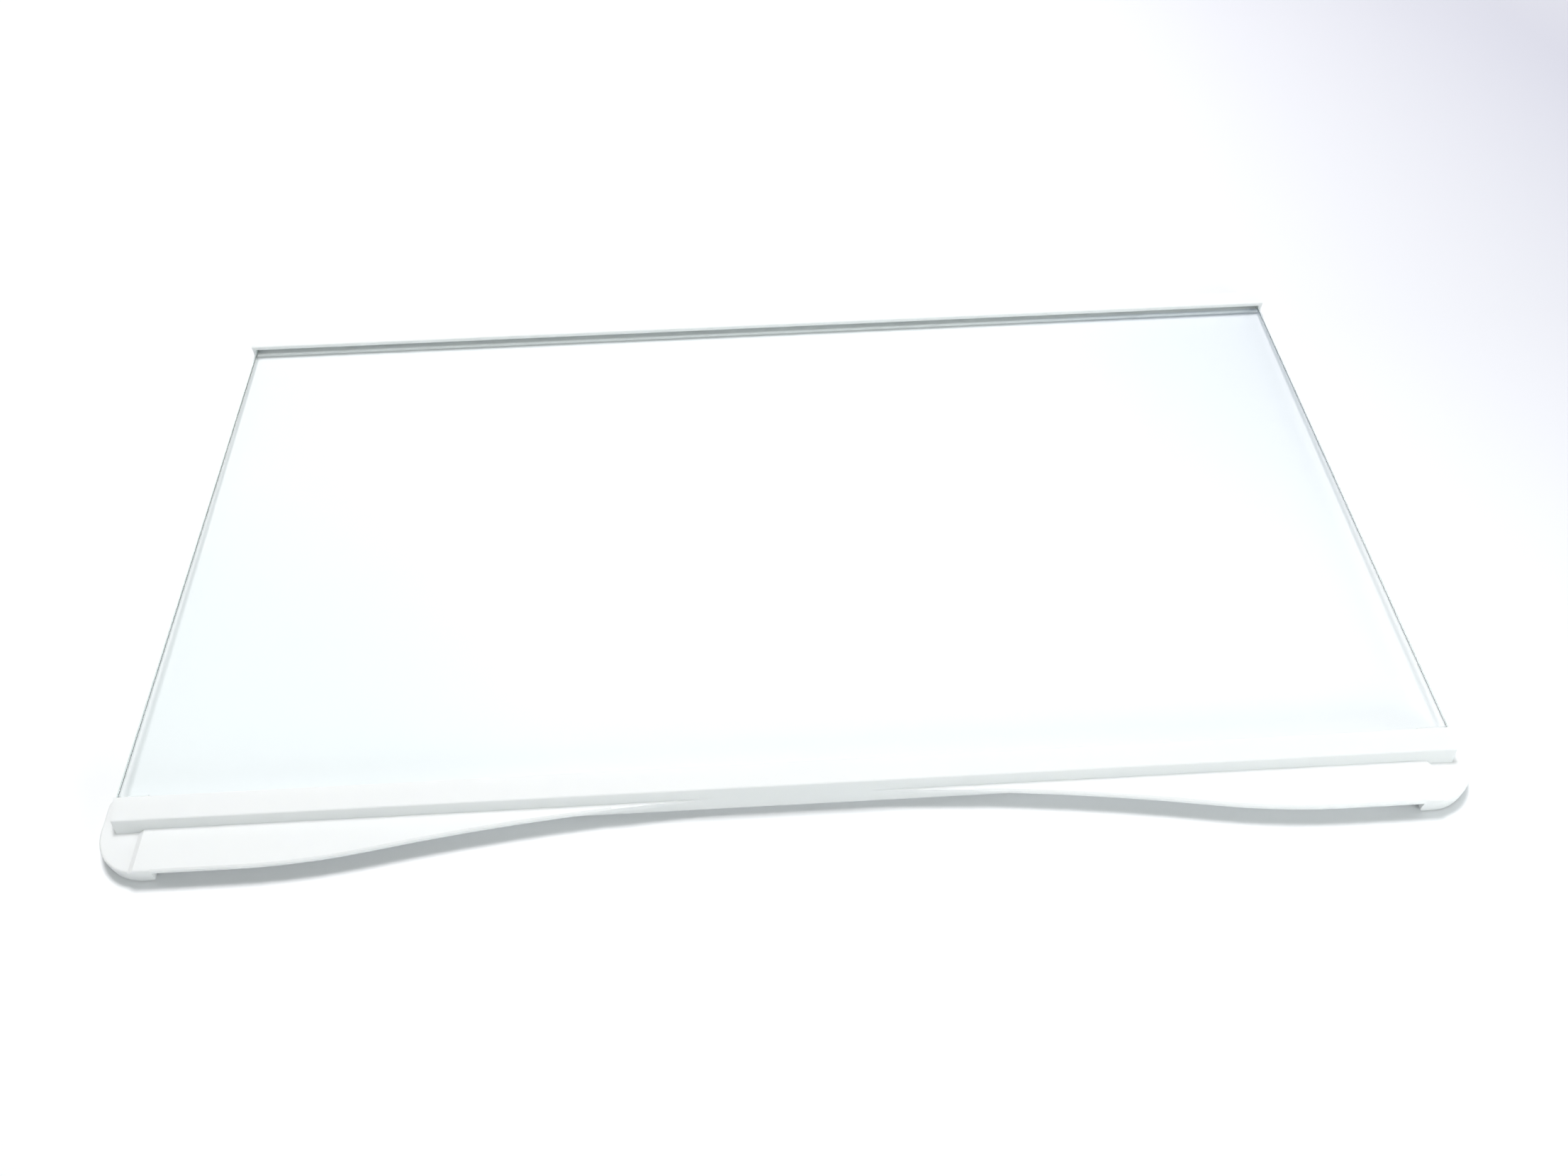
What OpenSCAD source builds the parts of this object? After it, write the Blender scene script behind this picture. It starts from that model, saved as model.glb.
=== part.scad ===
// Refrigerator shelf: a clear glass plate held between a moulded front trim and a rear trim.
// The glass lies level. X runs along the shelf, Y from front to back, and Z is up.
// The origin is the middle of the footprint, at the foot of the front trim.

/* [Glass panel] */
// Width of the glass plate
glass_w = 462; // [380:1:560]
// Depth of the glass plate, front edge to back edge
glass_d = 243.5; // [180:0.5:360]
// Thickness of the glass
glass_t = 3.2; // [3:0.1:4]
// Radius of the two front corners, hidden in the front trim
glass_front_r = 7; // [5:0.5:7.5]
// Radius of the two back corners, hidden in the rear trim
glass_back_r = 3; // [1:0.5:5]
// Width of the seamed chamfer along the glass edges
glass_seam = 0.4; // [0.1:0.1:0.8]

/* [Fit of the glass in the trims] */
// Gap between each glass edge and the floor of its groove
edge_gap = 0.25; // [0.1:0.05:0.4]
// Gap above the glass in both grooves
cover_gap = 0.1; // [0.05:0.05:0.3]

/* [Front trim bar] */
// Height from the foot to the top of the bar
trim_h = 10.8; // [10.4:0.2:14]
// Depth of the bar's top, front to back
bar_d = 9.1; // [8.5:0.1:12]
// Thickness of the plastic over the glass
cover_t = 2; // [1.5:0.1:2.5]
// Thickness of the ledge under the glass
seat_t = 1.8; // [1.2:0.1:2]
// How much further back the ledge reaches than the cover
seat_reach = 1.2; // [0:0.1:3]
// Thickness of the front wall
wall_t = 2.2; // [1.8:0.1:2.6]
// Height of the front wall's lower edge above the feet
wall_lift = 2.5; // [1:0.1:3]
// How far the bar's face leans forward from its top edge down to the lip's surface
face_run = 1.5; // [1.2:0.1:1.8]
// Radius of the bar's upper front edge
bar_edge_r = 0.8; // [0.4:0.1:1.2]
// Radius of the bar's upper back edge
bar_back_r = 0.4; // [0.2:0.1:0.8]
// How far the bar's top front corner lies inside the glass edge
bar_end_in = 1.85; // [1.5:0.05:2.2]
// Angle of the bar's end face to the side, seen from above
bar_end_turn = 9; // [4:1:14]

/* [Front lip with the finger recess] */
// Depth of the lip's surface in front of the bar, at both ends
lip_d = 15.6; // [13:0.1:18]
// Height from the lip's surface up to the top of the bar
lip_step = 4; // [3.6:0.1:4.4]
// Thickness of the lip
lip_t = 2.4; // [2:0.1:2.6]
// Radius along the lip's upper and lower edges
lip_edge_r = 0.7; // [0.4:0.1:0.9]
// How far in from the glass edge the lip comes to its full depth
shoulder_in = 44.5; // [38:0.5:60]
// Radius of the lip's outward curve on each side of the recess
shoulder_r = 260; // [200:5:320]
// How far the crown of the recess lies behind the bar's face at the lip's surface
recess_dip = 0.4; // [0.3:0.05:0.7]
// How far from the middle the recess's edge starts to be rounded
recess_round_from = 62; // [60:1:90]

/* [Ears and skirts] */
// How far each ear reaches out past the glass edge
ear_out = 3.6; // [3:0.1:6]
// How far each ear reaches in under the glass edge
ear_in = 9.8; // [8:0.1:11]
// Gap between the glass and the ear that passes under it
ear_gap = 0.1; // [0.05:0.05:0.4]
// Width of the slope from the lip down to the ear
ear_slope_w = 2.1; // [1.6:0.1:3]
// How far the ear reaches back behind the bar
ear_back = 2.8; // [2:0.1:6]
// Thickness of the ear's top plate
ear_t = 2.2; // [1.8:0.1:2.4]
// Radius of the ear's front corner, seen from above
ear_front_r = 16.6; // [14:0.1:17]
// Radius of the ear's back corner, seen from above
ear_back_r = 3; // [2.5:0.1:5]
// Radius along the ear's upper edge
ear_edge_r = 0.9; // [0.5:0.1:1.2]
// Thickness of the skirt wall below the ear
skirt_t = 2; // [1.6:0.1:2.4]
// How far in from the glass edge the front skirt ends
skirt_end_in = 17.5; // [16:0.1:20]
// Radius of the skirt's lower corner at that end
skirt_end_r = 1.6; // [0.8:0.1:3]

/* [Rear trim] */
// Depth of the rear trim's top, front to back
rear_d = 8.2; // [6:0.1:11]
// Thickness of the plastic over the glass
rear_cover_t = 1.8; // [1.4:0.1:2.4]
// Thickness of the ledge under the glass
rear_seat_t = 1.6; // [1.2:0.1:2.4]
// How much further forward the ledge reaches than the cover
rear_seat_reach = 1.2; // [0:0.1:3]
// Thickness of the back wall
rear_wall_t = 1.8; // [1.2:0.1:2.4]
// Thickness of the two end walls
rear_end_t = 1.55; // [1:0.05:2.5]
// Radius of the rear trim's long outer edges
rear_edge_r = 0.7; // [0.3:0.1:1]
// Radius of the rear trim's back corners, seen from above
rear_corner_r = 1.4; // [0.5:0.1:3]

/* [Hidden] */
$fn = 96;
// fine division for the long curves of the lip
long_fn = 1080;
// the two flats that round the lip's thin rim meet at this angle of the quarter turn
rim_turn = 70;
// overlap that fuses two shapes of one moulding
fuse = 0.5;
// length that reaches past whatever it cuts
past = 60;

// places along X
glass_x = glass_w / 2;
ear_x = glass_x + ear_out;
ear_in_x = glass_x - ear_in;
slope_x = ear_in_x - ear_slope_w;
skirt_x = glass_x - skirt_end_in;
rear_x = glass_x + edge_gap + rear_end_t;

// places along Y, with face_y at the top edge of the bar's leaning face
overall_d = lip_d + face_run + wall_t + 2 * edge_gap + glass_d + rear_wall_t;
front_y = -overall_d / 2;
lip_back_y = front_y + lip_d;
face_y = lip_back_y + face_run;
bar_back_y = face_y + bar_d;
glass_front_y = face_y + wall_t + edge_gap;
glass_back_y = glass_front_y + glass_d;
rear_back_y = glass_back_y + edge_gap + rear_wall_t;
ear_back_y = bar_back_y + ear_back;

// heights
glass_top_z = trim_h - cover_t;
glass_z = glass_top_z - glass_t;
seat_z = glass_z - seat_t;
lip_top_z = trim_h - lip_step;
lip_z = lip_top_z - lip_t;
ear_top_z = glass_z - ear_gap;
ear_z = ear_top_z - ear_t;
rear_top_z = glass_top_z + cover_gap + rear_cover_t;
rear_z = glass_z - rear_seat_t;

// The slope's underside turns this share of the plate's thickness further in than its top.
mitre = tan(atan((lip_top_z - ear_top_z) / ear_slope_w) / 2);
// Angle of the bar's face to the upright
face_lean = atan(face_run / lip_step);

// The recess is one arc that meets the outward curve of each shoulder in a tangent.
recess_half_w = glass_x - shoulder_in;
recess_rise = lip_d + recess_dip;
radii_sum = (recess_half_w * recess_half_w + recess_rise * recess_rise) / (2 * recess_rise);
recess_r = radii_sum - shoulder_r;
recess_y = front_y + recess_rise - recess_r;
shoulder_y = front_y + shoulder_r;
wave_angle = asin(recess_half_w / radii_sum);
wave_x = recess_r * sin(wave_angle);
wave_y = recess_y + recess_r * cos(wave_angle);
// Where the rounding of the recess's edge hands over to that of the shoulder's edge.
hand_over_angle = 0.3;
// The lip is a sharp sliver nearer the middle than this.
round_from_angle = asin(recess_round_from / recess_r);

// A section drawn as [y, z] runs along X from x0 to x1.
module along_x(x0, x1) {
    translate([x0, 0, 0])
        rotate([90, 0, 90])
            linear_extrude(x1 - x0)
                children();
}

// A section drawn as [x, z] runs along Y from y0 to y1.
module along_y(y0, y1) {
    translate([0, y1, 0])
        rotate([90, 0, 0])
            linear_extrude(y1 - y0)
                children();
}

module both_ends() {
    children();
    mirror([1, 0, 0])
        children();
}

module box2(x0, x1, y0, y1) {
    translate([x0, y0])
        square([x1 - x0, y1 - y0]);
}

// Rectangle with its corner at x1, y1 rounded.
module rounded_corner_box(x0, x1, y0, y1, r) {
    box2(x0, x1 - r, y0, y1);
    box2(x0, x1, y0, y1 - r);
    translate([x1 - r, y1 - r])
        circle(r);
}

// Rectangle with all its corners rounded.
module rounded_box(x0, x1, y0, y1, r) {
    box2(x0 + r, x1 - r, y0, y1);
    box2(x0, x1, y0 + r, y1 - r);
    for (x = [x0 + r, x1 - r], y = [y0 + r, y1 - r])
        translate([x, y])
            circle(r);
}

// Plan of the glass, grown outward by gap.
module glass_plan(gap) {
    front_r = glass_front_r + gap;
    back_r = glass_back_r + gap;
    x1 = glass_x + gap;
    y0 = glass_front_y - gap;
    y1 = glass_back_y + gap;
    box2(-x1, x1, y0 + front_r, y1 - back_r);
    box2(front_r - x1, x1 - front_r, y0, y1 - back_r);
    box2(back_r - x1, x1 - back_r, y0 + front_r, y1);
    for (s = [-1, 1]) {
        translate([s * (x1 - front_r), y0 + front_r])
            circle(front_r);
        translate([s * (x1 - back_r), y1 - back_r])
            circle(back_r);
    }
}

// Section of the plate across its thickness, chamfered at the four edges.
module seamed_section(from, to) {
    polygon([
        [from + glass_seam, glass_z], [to - glass_seam, glass_z],
        [to, glass_z + glass_seam], [to, glass_top_z - glass_seam],
        [to - glass_seam, glass_top_z], [from + glass_seam, glass_top_z],
        [from, glass_top_z - glass_seam], [from, glass_z + glass_seam]
    ]);
}

module glass_panel() {
    color([0.80, 0.92, 0.91, 0.4])
        intersection() {
            translate([0, 0, glass_z])
                linear_extrude(glass_t)
                    glass_plan(0);
            along_y(glass_front_y, glass_back_y)
                seamed_section(-glass_x, glass_x);
            along_x(-glass_x, glass_x)
                seamed_section(glass_front_y, glass_back_y);
        }
}

// Space that the glass takes in the grooves of both trims.
module glass_pocket() {
    translate([0, 0, glass_z])
        linear_extrude(glass_t + cover_gap)
            glass_plan(edge_gap);
}

// Place of the bar's leaning face at the height z.
function face_at(z) = face_y - (trim_h - z) * face_run / lip_step;

// Section of the front wall under the leaning face, with its upper edge rounded.
module wall_section() {
    edge = bar_edge_r / tan(45 + face_lean / 2);
    polygon([
        [face_at(wall_lift), wall_lift],
        [face_at(wall_lift) + wall_t, wall_lift],
        [face_at(seat_z) + wall_t, seat_z],
        [face_y + wall_t, seat_z],
        [face_y + wall_t, trim_h],
        [face_y + edge, trim_h],
        [face_y - edge * sin(face_lean), trim_h - edge * cos(face_lean)]
    ]);
    translate([face_y + edge, trim_h - bar_edge_r])
        circle(bar_edge_r);
}

// Section of the bar, solid: front wall, cover and ledge.
module bar_section() {
    wall_section();
    translate([face_y + wall_t - fuse, 0])
        rounded_corner_box(0, bar_d - wall_t + fuse, seat_z, trim_h, bar_back_r);
    box2(face_y + fuse, bar_back_y + seat_reach, seat_z, glass_z);
}

// The end face turns outward towards the back.
module bar_end_cut() {
    translate([glass_x - bar_end_in, face_y, 0])
        rotate([0, 0, -bar_end_turn])
            translate([0, -past / 2, -past / 2])
                cube(past);
}

module bar() {
    difference() {
        along_x(-ear_x, ear_x)
            bar_section();
        glass_pocket();
        both_ends()
            bar_end_cut();
    }
}

// Plan of the lip between the skirts, with its wavy front edge.
module lip_plan() {
    difference() {
        box2(-skirt_x, skirt_x, front_y, lip_back_y + fuse);
        translate([0, recess_y])
            circle(recess_r, $fn = long_fn);
        both_ends()
            difference() {
                box2(wave_x, recess_half_w, front_y - fuse, wave_y);
                translate([recess_half_w, shoulder_y])
                    circle(shoulder_r, $fn = long_fn);
            }
    }
}

// What the rounding takes off the lip's upper and lower edges, with the lip's front at 0.
module rim_waste() {
    r = lip_edge_r;
    meet = r * [1 - sin(rim_turn), 1 - cos(rim_turn)];
    for (side = [0, 1])
        translate([0, lip_z + side * lip_t])
            mirror([0, side])
                polygon([[-r, -r], [2 * r, -r], [r, 0], meet, [0, r], [-r, 2 * r]]);
}

module lip() {
    difference() {
        translate([0, 0, lip_z])
            linear_extrude(lip_t)
                lip_plan();
        both_ends()
            translate([0, recess_y, 0])
                rotate([0, 0, 90 - wave_angle - hand_over_angle])
                    rotate_extrude(
                        angle = wave_angle + hand_over_angle - round_from_angle, $fn = long_fn
                    )
                        translate([recess_r, 0])
                            rim_waste();
        both_ends()
            translate([-recess_half_w, shoulder_y, 0])
                rotate([0, 0, 270])
                    rotate_extrude(angle = wave_angle - hand_over_angle, $fn = long_fn)
                        translate([shoulder_r, 0])
                            mirror([1, 0])
                                rim_waste();
        both_ends()
            along_x(recess_half_w, ear_x)
                translate([front_y, 0])
                    rim_waste();
    }
}

// Upright section from the foot to top, w wide, with its outer upper edge rounded.
module edge_section(w, top, r) {
    rounded_corner_box(0, w, 0, top, r);
}

// Solid end of the trim up to the height top, with its upper rim rounded to r.
module end_block(top, r) {
    front_c = [ear_x - ear_front_r, front_y + ear_front_r];
    back_c = [ear_x - ear_back_r, ear_back_y - ear_back_r];
    // front corner
    translate(front_c)
        rotate([0, 0, 270])
            rotate_extrude(angle = 90)
                edge_section(ear_front_r, top, r);
    // straight front, up to the corner
    along_x(skirt_x, front_c[0])
        translate([front_c[1], 0])
            mirror([1, 0])
                edge_section(ear_front_r, top, r);
    // outer side
    along_y(front_c[1], back_c[1])
        translate([front_c[0], 0])
            edge_section(ear_front_r, top, r);
    // back corner
    translate(back_c)
        rotate_extrude(angle = 90)
            edge_section(ear_back_r, top, r);
    // straight back
    along_x(ear_in_x, back_c[0])
        translate([back_c[1], 0])
            edge_section(ear_back_r, top, r);
    // inner part of the plate
    translate([ear_in_x, front_c[1], 0])
        cube([back_c[0] - ear_in_x, back_c[1] - front_c[1], top]);
}

// Plan of the space inside the skirt, open towards the middle of the shelf.
module skirt_space_plan() {
    front_r = ear_front_r - skirt_t;
    back_r = ear_back_r - skirt_t;
    x1 = ear_x - skirt_t;
    y0 = front_y + skirt_t;
    y1 = ear_back_y - skirt_t;
    box2(skirt_x - past, x1 - front_r, y0, face_y + fuse);
    box2(ear_in_x - past, x1 - back_r, face_y, y1);
    box2(x1 - front_r - fuse, x1, y0 + front_r, y1 - back_r);
    translate([x1 - front_r, y0 + front_r])
        circle(front_r);
    translate([x1 - back_r, y1 - back_r])
        circle(back_r);
}

// The lip's end slopes down to the ear, above and below, as one plate.
module end_shell() {
    difference() {
        union() {
            end_block(ear_top_z, ear_edge_r);
            intersection() {
                end_block(lip_top_z, lip_edge_r);
                along_y(front_y - fuse, face_y + fuse)
                    polygon([
                        [skirt_x, 0], [skirt_x, lip_top_z], [slope_x, lip_top_z],
                        [ear_in_x, ear_top_z], [ear_in_x, 0]
                    ]);
            }
        }
        intersection() {
            translate([0, 0, -1])
                linear_extrude(lip_top_z)
                    skirt_space_plan();
            along_y(front_y, ear_back_y)
                polygon([
                    [skirt_x - past, -1], [skirt_x - past, lip_z],
                    [slope_x - lip_t * mitre, lip_z], [ear_in_x - ear_t * mitre, ear_z],
                    [ear_x, ear_z], [ear_x, -1]
                ]);
        }
        // lower corner of the skirt's end
        along_y(front_y - fuse, front_y + skirt_t + fuse)
            difference() {
                box2(skirt_x - fuse, skirt_x + skirt_end_r, -1, skirt_end_r);
                translate([skirt_x + skirt_end_r, skirt_end_r])
                    circle(skirt_end_r);
            }
    }
}

module front_trim() {
    color("white") {
        bar();
        lip();
        both_ends()
            end_shell();
    }
}

// Section of the rear trim, solid: cover, back wall and ledge.
module rear_section() {
    rounded_box(rear_back_y - rear_d, rear_back_y, rear_z, rear_top_z, rear_edge_r);
    rounded_box(
        rear_back_y - rear_d - rear_seat_reach, rear_back_y - rear_edge_r,
        rear_z, glass_z, min(rear_edge_r, rear_seat_t / 2 - 0.1)
    );
}

module rear_trim() {
    color("white")
        difference() {
            intersection() {
                along_x(-rear_x, rear_x)
                    rear_section();
                linear_extrude(rear_top_z)
                    rounded_box(
                        -rear_x, rear_x, rear_back_y - past, rear_back_y, rear_corner_r
                    );
            }
            glass_pocket();
        }
}

glass_panel();
front_trim();
rear_trim();
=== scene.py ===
import bpy
import math
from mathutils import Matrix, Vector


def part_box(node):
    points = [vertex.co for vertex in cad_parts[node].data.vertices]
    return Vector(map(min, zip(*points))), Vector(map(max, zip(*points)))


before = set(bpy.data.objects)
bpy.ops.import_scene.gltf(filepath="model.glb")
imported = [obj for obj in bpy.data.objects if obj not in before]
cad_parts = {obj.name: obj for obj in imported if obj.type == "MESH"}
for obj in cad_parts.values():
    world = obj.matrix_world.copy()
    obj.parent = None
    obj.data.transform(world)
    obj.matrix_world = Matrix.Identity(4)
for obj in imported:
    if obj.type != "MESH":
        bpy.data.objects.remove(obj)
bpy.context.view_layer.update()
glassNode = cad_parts["glass_panel"]
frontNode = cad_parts["front_trim"]
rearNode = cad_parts["rear_trim"]
print("frame loaded")

mm = 0.001


def toLinear(hexColour):
    # sRGB hex, such as "#f4f6f7", to the linear colour that the sockets take
    parts = [int(hexColour[i:i + 2], 16) / 255 for i in (1, 3, 5)]
    return [c / 12.92 if c <= 0.04045 else ((c + 0.055) / 1.055) ** 2.4 for c in parts] + [1]


def addNode(tree, kind, settings=None, values=None, links=None):
    # one node with its settings, the values of its inputs and what feeds them
    node = tree.nodes.new(kind)
    for key, value in (settings or {}).items():
        setattr(node, key, value)
    for key, value in (values or {}).items():
        node.inputs[key].default_value = value
    for key, socket in (links or {}).items():
        tree.links.new(socket, node.inputs[key])
    return node


def newMaterial(name):
    material = bpy.data.materials.new(name)
    material.use_nodes = True
    material.node_tree.nodes.clear()
    return material, material.node_tree


def dress(node, material):
    node.data.materials.clear()
    node.data.materials.append(material)


# Injection moulded high-impact polystyrene: an opaque white with a soft gloss. Steel
# polishing shows as slow waves in the shine, and handling leaves it slightly uneven.
plastic = {
    "colour": "#f6f7f7",
    "coolColour": "#f1f3f4",
    "cloudSize": 55,       # mm
    "roughness": 0.34,
    "roughnessSwing": 0.10,
    "ripple": 4.5,         # mm between waves
    "rippleDepth": 0.004,  # mm
    "glow": 0.5,           # thin walls let some light through
    "glowDepth": 2.5,      # mm
    "grain": 0.45,         # mm, drawn coarser than the real spark-eroded grain so that it shows
    "grainDepth": 0.003,   # mm
}


def mouldedPlastic(name, look, stretch=(1, 1, 1)):
    material, tree = newMaterial(name)
    place = addNode(tree, "ShaderNodeTexCoord")
    drawn = addNode(tree, "ShaderNodeMapping", values={"Scale": stretch},
                    links={"Vector": place.outputs["Object"]})
    at = drawn.outputs["Vector"]
    clouds = addNode(tree, "ShaderNodeTexNoise",
                     values={"Scale": 1 / (look["cloudSize"] * mm), "Detail": 3, "Roughness": 0.5},
                     links={"Vector": at})
    tone = addNode(tree, "ShaderNodeMix", {"data_type": "RGBA"},
                   links={"Factor": clouds.outputs["Fac"]})
    tone.inputs["A"].default_value = toLinear(look["colour"])
    tone.inputs["B"].default_value = toLinear(look["coolColour"])
    handled = addNode(tree, "ShaderNodeTexNoise",
                      values={"Scale": 1 / (9 * mm), "Detail": 5, "Roughness": 0.62},
                      links={"Vector": at})
    rough = addNode(tree, "ShaderNodeMapRange",
                    values={"From Min": 0.3, "From Max": 0.7,
                            "To Min": look["roughness"] - look["roughnessSwing"] / 2,
                            "To Max": look["roughness"] + look["roughnessSwing"] / 2},
                    links={"Value": handled.outputs["Fac"]})
    ripple = addNode(tree, "ShaderNodeTexNoise",
                     values={"Scale": 1 / (look["ripple"] * mm), "Detail": 1},
                     links={"Vector": at})
    grain = addNode(tree, "ShaderNodeTexNoise",
                    values={"Scale": 1 / (look["grain"] * mm), "Detail": 2},
                    links={"Vector": place.outputs["Object"]})
    wave = addNode(tree, "ShaderNodeBump", values={"Distance": look["rippleDepth"] * mm},
                   links={"Height": ripple.outputs["Fac"]})
    bump = addNode(tree, "ShaderNodeBump", values={"Distance": look["grainDepth"] * mm},
                   links={"Height": grain.outputs["Fac"], "Normal": wave.outputs["Normal"]})
    shader = addNode(tree, "ShaderNodeBsdfPrincipled",
                     values={"IOR": 1.57, "Subsurface Weight": look["glow"],
                             "Subsurface Radius": (1.0, 1.0, 0.95),
                             "Subsurface Scale": look["glowDepth"] * mm},
                     links={"Base Color": tone.outputs["Result"],
                            "Roughness": rough.outputs["Result"],
                            "Normal": bump.outputs["Normal"]})
    addNode(tree, "ShaderNodeOutputMaterial", links={"Surface": shader.outputs["BSDF"]})
    return material


# Tempered soda-lime float glass: clear, with a faint blue-green cast that shows where
# light crosses it lengthwise. The seams along its edges are ground, so they look frosted.
glass = {
    "tint": "#fdffff",
    "depthColour": "#9fd8cf",
    "depthDensity": 2.2,     # per metre
    "seam": 0.45,            # mm in from the edge
    "seamRoughness": 0.45,
    "edgeColour": "#c4dcd4",
    "edgeClear": 0.35,       # how much of the ground edge's look from outside is clear glass
    "paneShade": "#fdfefe",  # what lamps keep when they shine through the faces
    "edgeShade": "#a0a8a8",  # what they keep near the ground edge, which throws a faint line
    "edgeShadeWidth": 0.8,   # mm
}


def floatGlass(name, look):
    material, tree = newMaterial(name)
    low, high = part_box("glass_panel")
    place = addNode(tree, "ShaderNodeTexCoord")
    parts = addNode(tree, "ShaderNodeSeparateXYZ", links={"Vector": place.outputs["Object"]})
    side = addNode(tree, "ShaderNodeMath", {"operation": "ABSOLUTE"}, links={0: parts.outputs["X"]})
    atSide = addNode(tree, "ShaderNodeMath", {"operation": "GREATER_THAN"},
                     values={1: high.x - look["seam"] * mm}, links={0: side.outputs[0]})
    middle = addNode(tree, "ShaderNodeMath", {"operation": "SUBTRACT"},
                     values={1: (low.z + high.z) / 2}, links={0: parts.outputs["Z"]})
    off = addNode(tree, "ShaderNodeMath", {"operation": "ABSOLUTE"}, links={0: middle.outputs[0]})
    atFace = addNode(tree, "ShaderNodeMath", {"operation": "GREATER_THAN"},
                     values={1: (high.z - low.z) / 2 - look["seam"] * mm}, links={0: off.outputs[0]})
    ground = addNode(tree, "ShaderNodeMath", {"operation": "MULTIPLY"},
                     links={0: atSide.outputs[0], 1: atFace.outputs[0]})
    nearEdge = addNode(tree, "ShaderNodeMapRange", {"interpolation_type": "SMOOTHSTEP"},
                       values={"From Min": high.x - look["edgeShadeWidth"] * mm, "From Max": high.x},
                       links={"Value": side.outputs[0]})
    rough = addNode(tree, "ShaderNodeMath", {"operation": "MULTIPLY"},
                    values={1: look["seamRoughness"]}, links={0: ground.outputs[0]})
    which = addNode(tree, "ShaderNodeNewGeometry")
    outside = addNode(tree, "ShaderNodeMath", {"operation": "SUBTRACT"},
                      values={0: 1}, links={1: which.outputs["Backfacing"]})
    frosted = addNode(tree, "ShaderNodeMath", {"operation": "MULTIPLY"},
                      links={0: atSide.outputs[0], 1: outside.outputs[0]})
    tint = addNode(tree, "ShaderNodeMix", {"data_type": "RGBA"},
                   links={"Factor": frosted.outputs[0]})
    tint.inputs["A"].default_value = toLinear(look["tint"])
    tint.inputs["B"].default_value = toLinear(look["edgeColour"])
    through = addNode(tree, "ShaderNodeMapRange", values={"To Min": 1, "To Max": look["edgeClear"]},
                      links={"Value": frosted.outputs[0]})
    clear = addNode(tree, "ShaderNodeBsdfPrincipled", values={"IOR": 1.52},
                    links={"Base Color": tint.outputs["Result"], "Roughness": rough.outputs[0],
                           "Transmission Weight": through.outputs["Result"]})
    shade = addNode(tree, "ShaderNodeMix", {"data_type": "RGBA"},
                    links={"Factor": nearEdge.outputs["Result"]})
    shade.inputs["A"].default_value = toLinear(look["paneShade"])
    shade.inputs["B"].default_value = toLinear(look["edgeShade"])
    passing = addNode(tree, "ShaderNodeBsdfTransparent", links={"Color": shade.outputs["Result"]})
    path = addNode(tree, "ShaderNodeLightPath")
    lampRay = addNode(tree, "ShaderNodeMath", {"operation": "MAXIMUM"},
                      links={0: path.outputs["Is Shadow Ray"], 1: path.outputs["Is Diffuse Ray"]})
    both = addNode(tree, "ShaderNodeMixShader",
                   links={0: lampRay.outputs[0], 1: clear.outputs["BSDF"],
                          2: passing.outputs["BSDF"]})
    inside = addNode(tree, "ShaderNodeVolumeAbsorption",
                     values={"Color": toLinear(look["depthColour"]),
                             "Density": look["depthDensity"]})
    addNode(tree, "ShaderNodeOutputMaterial",
            links={"Surface": both.outputs["Shader"], "Volume": inside.outputs["Volume"]})
    return material


dress(frontNode, mouldedPlastic("moulded_polystyrene_front", plastic))
dress(rearNode, mouldedPlastic("moulded_polystyrene_rear", plastic, stretch=(0.2, 1, 1)))
dress(glassNode, floatGlass("tempered_float_glass", glass))
print("materials done")

# A white table top. It lies against the back ends of the feet and the back edge of the
# rear trim, because the shelf stands lower in front than behind.
table = {
    "size": 60,
    "footBackY": -103.55,  # mm
    "drop": 0.05,         # mm of air, so that faces don't coincide
    "colour": "#f2f3f5",
    "frontGain": 1.15,    # how much brighter the eye sees the table than lamps light it
    "rearGain": 1.05,     # less behind, where the rear lamp is nearer
    "gainFrom": -150,     # mm
    "gainTo": 120,
    "shade": "#dbdae4",   # a painted soft shade, multiplied into the table's colour far to the right
    "paintedShadeFrom": 170,     # mm
    "paintedShadeTo": 555,
    "whiteFrom": 550,     # mm from the shelf's middle, where the table starts to turn plain white
    "whiteTo": 900,
    "under": 3,           # mm, up to which the table leaves light to what lies on it
}


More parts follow.
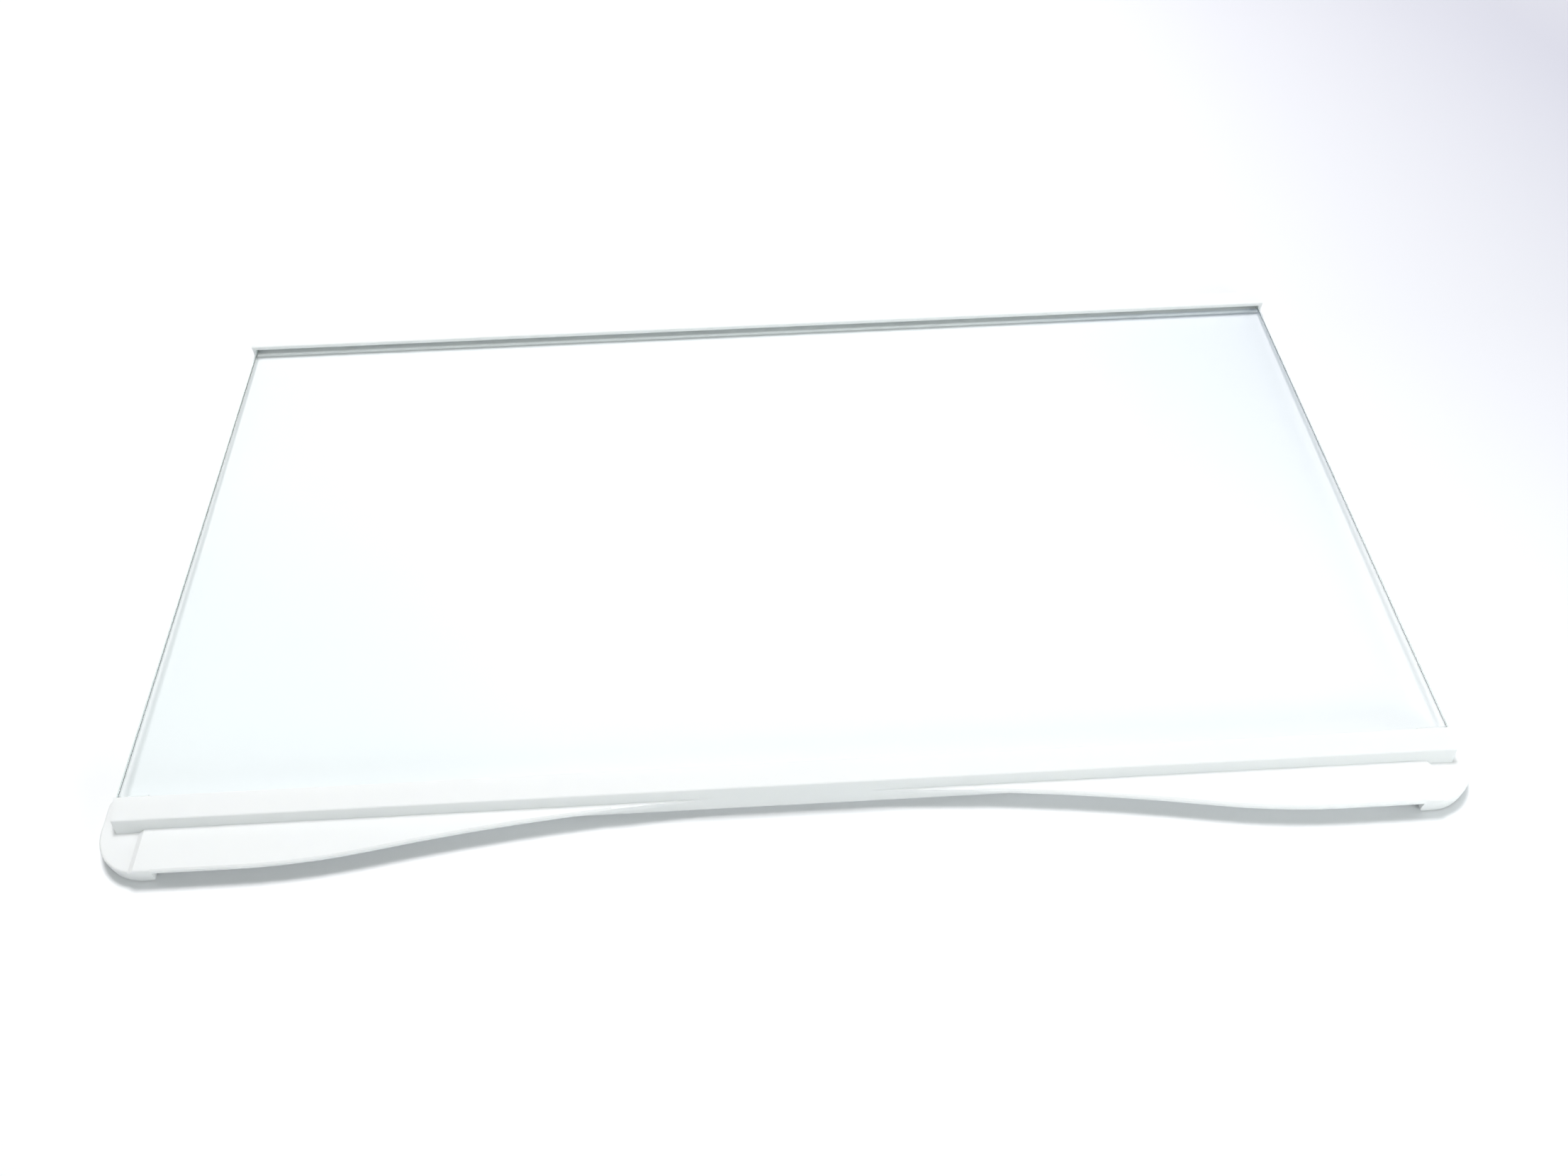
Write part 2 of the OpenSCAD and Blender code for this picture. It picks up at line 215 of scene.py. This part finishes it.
def tableMaterial(look):
    material, tree = newMaterial("matt_white_table")
    path = addNode(tree, "ShaderNodeLightPath")
    seen = addNode(tree, "ShaderNodeMath", {"operation": "MAXIMUM"},
                   links={0: path.outputs["Is Camera Ray"], 1: path.outputs["Is Transmission Ray"]})
    seen = addNode(tree, "ShaderNodeMath", {"operation": "MAXIMUM"},
                   links={0: seen.outputs[0], 1: path.outputs["Is Glossy Ray"]})
    place = addNode(tree, "ShaderNodeTexCoord")
    parts = addNode(tree, "ShaderNodeSeparateXYZ", links={"Vector": place.outputs["Object"]})
    gain = addNode(tree, "ShaderNodeMapRange",
                   values={"From Min": look["gainFrom"] * mm, "From Max": look["gainTo"] * mm,
                           "To Min": look["frontGain"], "To Max": look["rearGain"]},
                   links={"Value": parts.outputs["Y"]})
    bright = addNode(tree, "ShaderNodeVectorMath", {"operation": "SCALE"},
                     values={0: toLinear(look["colour"])[:3]},
                     links={"Scale": gain.outputs["Result"]})
    tone = addNode(tree, "ShaderNodeMix", {"data_type": "RGBA", "clamp_result": False},
                   links={"Factor": seen.outputs[0], "B": bright.outputs["Vector"]})
    tone.inputs["A"].default_value = toLinear(look["colour"])
    # painted shade: the table's colour is darkened towards the far right by position, not by any
    # lamp
    across = addNode(tree, "ShaderNodeVectorMath", {"operation": "DOT_PRODUCT"},
                     values={1: (1, 0.25, 0)}, links={0: place.outputs["Object"]})
    far = addNode(tree, "ShaderNodeMapRange",
                  values={"From Min": look["paintedShadeFrom"] * mm, "From Max": look["paintedShadeTo"] * mm},
                  links={"Value": across.outputs["Value"]})
    paintedShadeMix = addNode(tree, "ShaderNodeMix", {"data_type": "RGBA", "blend_type": "MULTIPLY"},
                     links={"Factor": far.outputs["Result"], "A": tone.outputs["Result"]})
    paintedShadeMix.inputs["B"].default_value = toLinear(look["shade"])
    matt = addNode(tree, "ShaderNodeBsdfDiffuse", links={"Color": paintedShadeMix.outputs["Result"]})
    distance = addNode(tree, "ShaderNodeVectorMath", {"operation": "LENGTH"},
                       links={0: place.outputs["Object"]})
    away = addNode(tree, "ShaderNodeMapRange", {"interpolation_type": "SMOOTHSTEP"},
                   values={"From Min": look["whiteFrom"] * mm, "From Max": look["whiteTo"] * mm},
                   links={"Value": distance.outputs["Value"]})
    white = addNode(tree, "ShaderNodeEmission", values={"Color": (1, 1, 1, 1), "Strength": 1.0})
    plain = addNode(tree, "ShaderNodeMath", {"operation": "MULTIPLY"},
                    links={0: away.outputs["Result"], 1: seen.outputs[0]})
    top = addNode(tree, "ShaderNodeMixShader",
                  links={0: plain.outputs[0], 1: matt.outputs["BSDF"], 2: white.outputs["Emission"]})
    below = addNode(tree, "ShaderNodeNewGeometry")
    near = addNode(tree, "ShaderNodeMath", {"operation": "LESS_THAN"},
                   values={1: look["under"] * mm}, links={0: path.outputs["Ray Length"]})
    near = addNode(tree, "ShaderNodeMath", {"operation": "MULTIPLY"},
                   links={0: near.outputs[0], 1: path.outputs["Is Diffuse Ray"]})
    hidden = addNode(tree, "ShaderNodeMath", {"operation": "MAXIMUM"},
                     links={0: below.outputs["Backfacing"], 1: near.outputs[0]})
    clear = addNode(tree, "ShaderNodeBsdfTransparent")
    oneSided = addNode(tree, "ShaderNodeMixShader",  # the shelf's underside shows from below
                       links={0: hidden.outputs[0], 1: top.outputs["Shader"],
                              2: clear.outputs["BSDF"]})
    addNode(tree, "ShaderNodeOutputMaterial", links={"Surface": oneSided.outputs["Shader"]})
    return material


def makeTable(look):
    rearLow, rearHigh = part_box("rear_trim")
    footY = look["footBackY"] * mm
    rise = rearLow.z / (rearHigh.y - footY)
    bpy.ops.object.select_all(action="DESELECT")
    bpy.ops.mesh.primitive_plane_add(size=look["size"])
    top = bpy.context.object
    top.name = "table_top"
    top.rotation_euler = (math.atan(rise), 0, 0)
    top.location = (0, 0, -footY * rise - look["drop"] * mm)
    top.data.materials.append(tableMaterial(look))
    return top


tableTop = makeTable(table)

# Plain studio light: a pale room, a soft lamp above and behind the shelf and a weaker one
# low at the front right. The lamps aren't mirrored. What the glass mirrors is the same
# room in white, with a darker corner and the blue of a window.
studio = {
    "roomColour": (0.94, 1.0, 0.985),
    "room": 0.27,
    "frontGain": 0.25,      # how much more light the room gives from the front
    "front": (0.0, -0.95, 0.20),
    "mirrored": [
        # towards, colour, degrees to the full tone, degrees to where it is gone
        ((-0.40, 0.45, 0.80), (0.0, 0.22, 0.20), 3, 15.5),
        ((0.44, 0.76, 0.50), (0.0, 0.12, 0.55), 6, 18),
    ],
}
rearLamp = {
    "name": "rear_lamp",
    "colour": (1.0, 0.985, 0.985),
    "place": (-0.03, 0.62, 1.50),  # metres
    "width": 0.53,
    "power": 22.8,
}
frontLamp = {
    "name": "front_lamp",
    "colour": (0.94, 1.0, 0.99),
    "place": (0.72, -0.86, 0.33),
    "width": 0.5,
    "power": 4.7,
}


def makeRoom(look):
    world = bpy.data.worlds.new("pale_room")
    bpy.context.scene.world = world
    world.use_nodes = True
    tree = world.node_tree
    tree.nodes.clear()
    place = addNode(tree, "ShaderNodeTexCoord")
    towards = place.outputs["Generated"]
    colour = None
    for direction, tone, full, gone in look["mirrored"]:
        length = math.sqrt(sum(v * v for v in direction))
        near = addNode(tree, "ShaderNodeVectorMath", {"operation": "DOT_PRODUCT"},
                       values={1: [v / length for v in direction]}, links={0: towards})
        spot = addNode(tree, "ShaderNodeMapRange", {"interpolation_type": "SMOOTHSTEP"},
                       values={"From Min": math.cos(math.radians(gone)),
                               "From Max": math.cos(math.radians(full))},
                       links={"Value": near.outputs["Value"]})
        mixed = addNode(tree, "ShaderNodeMix", {"data_type": "RGBA"},
                        links={"Factor": spot.outputs["Result"]})
        mixed.inputs["A"].default_value = (1, 1, 1, 1)
        if colour:
            tree.links.new(colour, mixed.inputs["A"])
        mixed.inputs["B"].default_value = tone + (1,)
        colour = mixed.outputs["Result"]
    length = math.sqrt(sum(v * v for v in look["front"]))
    front = addNode(tree, "ShaderNodeVectorMath", {"operation": "DOT_PRODUCT"},
                    values={1: [v / length for v in look["front"]]}, links={0: towards})
    strength = addNode(tree, "ShaderNodeMapRange",
                       values={"From Min": -1, "From Max": 1,
                               "To Min": look["room"] * (1 - look["frontGain"]),
                               "To Max": look["room"] * (1 + look["frontGain"])},
                       links={"Value": front.outputs["Value"]})
    lit = addNode(tree, "ShaderNodeBackground", values={"Color": look["roomColour"] + (1,)},
                  links={"Strength": strength.outputs["Result"]})
    mirrored = addNode(tree, "ShaderNodeBackground", values={"Strength": 1.0},
                       links={"Color": colour})
    white = addNode(tree, "ShaderNodeBackground",
                    values={"Color": (1, 1, 1, 1), "Strength": 1.0})
    path = addNode(tree, "ShaderNodeLightPath")
    glossy = addNode(tree, "ShaderNodeMixShader",
                     links={0: path.outputs["Is Glossy Ray"], 1: lit.outputs["Background"],
                            2: mirrored.outputs["Background"]})
    seen = addNode(tree, "ShaderNodeMath", {"operation": "MAXIMUM"},
                   links={0: path.outputs["Is Camera Ray"], 1: path.outputs["Is Transmission Ray"]})
    both = addNode(tree, "ShaderNodeMixShader",
                   links={0: seen.outputs[0], 1: glossy.outputs["Shader"],
                          2: white.outputs["Background"]})
    addNode(tree, "ShaderNodeOutputWorld", links={"Surface": both.outputs["Shader"]})


def makeLamp(look):
    data = bpy.data.lights.new(look["name"], "AREA")
    data.shape = "DISK"
    data.size = look["width"]
    data.energy = look["power"]
    data.color = look["colour"]
    lamp = bpy.data.objects.new(look["name"], data)
    bpy.context.scene.collection.objects.link(lamp)
    lamp.location = look["place"]
    lamp.rotation_euler = lamp.location.to_track_quat("Z", "Y").to_euler()  # it faces the shelf
    lamp.visible_camera = False
    lamp.visible_glossy = False
    lamp.visible_transmission = False


makeRoom(studio)
makeLamp(rearLamp)
makeLamp(frontLamp)

# The camera stands in front and looks down, where the photograph was taken from.
view = {
    "place": (-10.07, -322.95, 381.85),  # mm
    "turn": (38.282, 0.65, -3.109),     # degrees
    "lens": 28.389,
}


def makeCamera(look):
    data = bpy.data.cameras.new("camera")
    data.sensor_width = 36
    data.lens = look["lens"]
    data.clip_start = 0.01
    camera = bpy.data.objects.new("camera", data)
    camera.location = [v * mm for v in look["place"]]
    camera.rotation_euler = [math.radians(v) for v in look["turn"]]
    bpy.context.scene.collection.objects.link(camera)
    bpy.context.scene.camera = camera


makeCamera(view)
bpy.context.scene.view_settings.view_transform = "Standard"
print("stage, lamp and camera done")
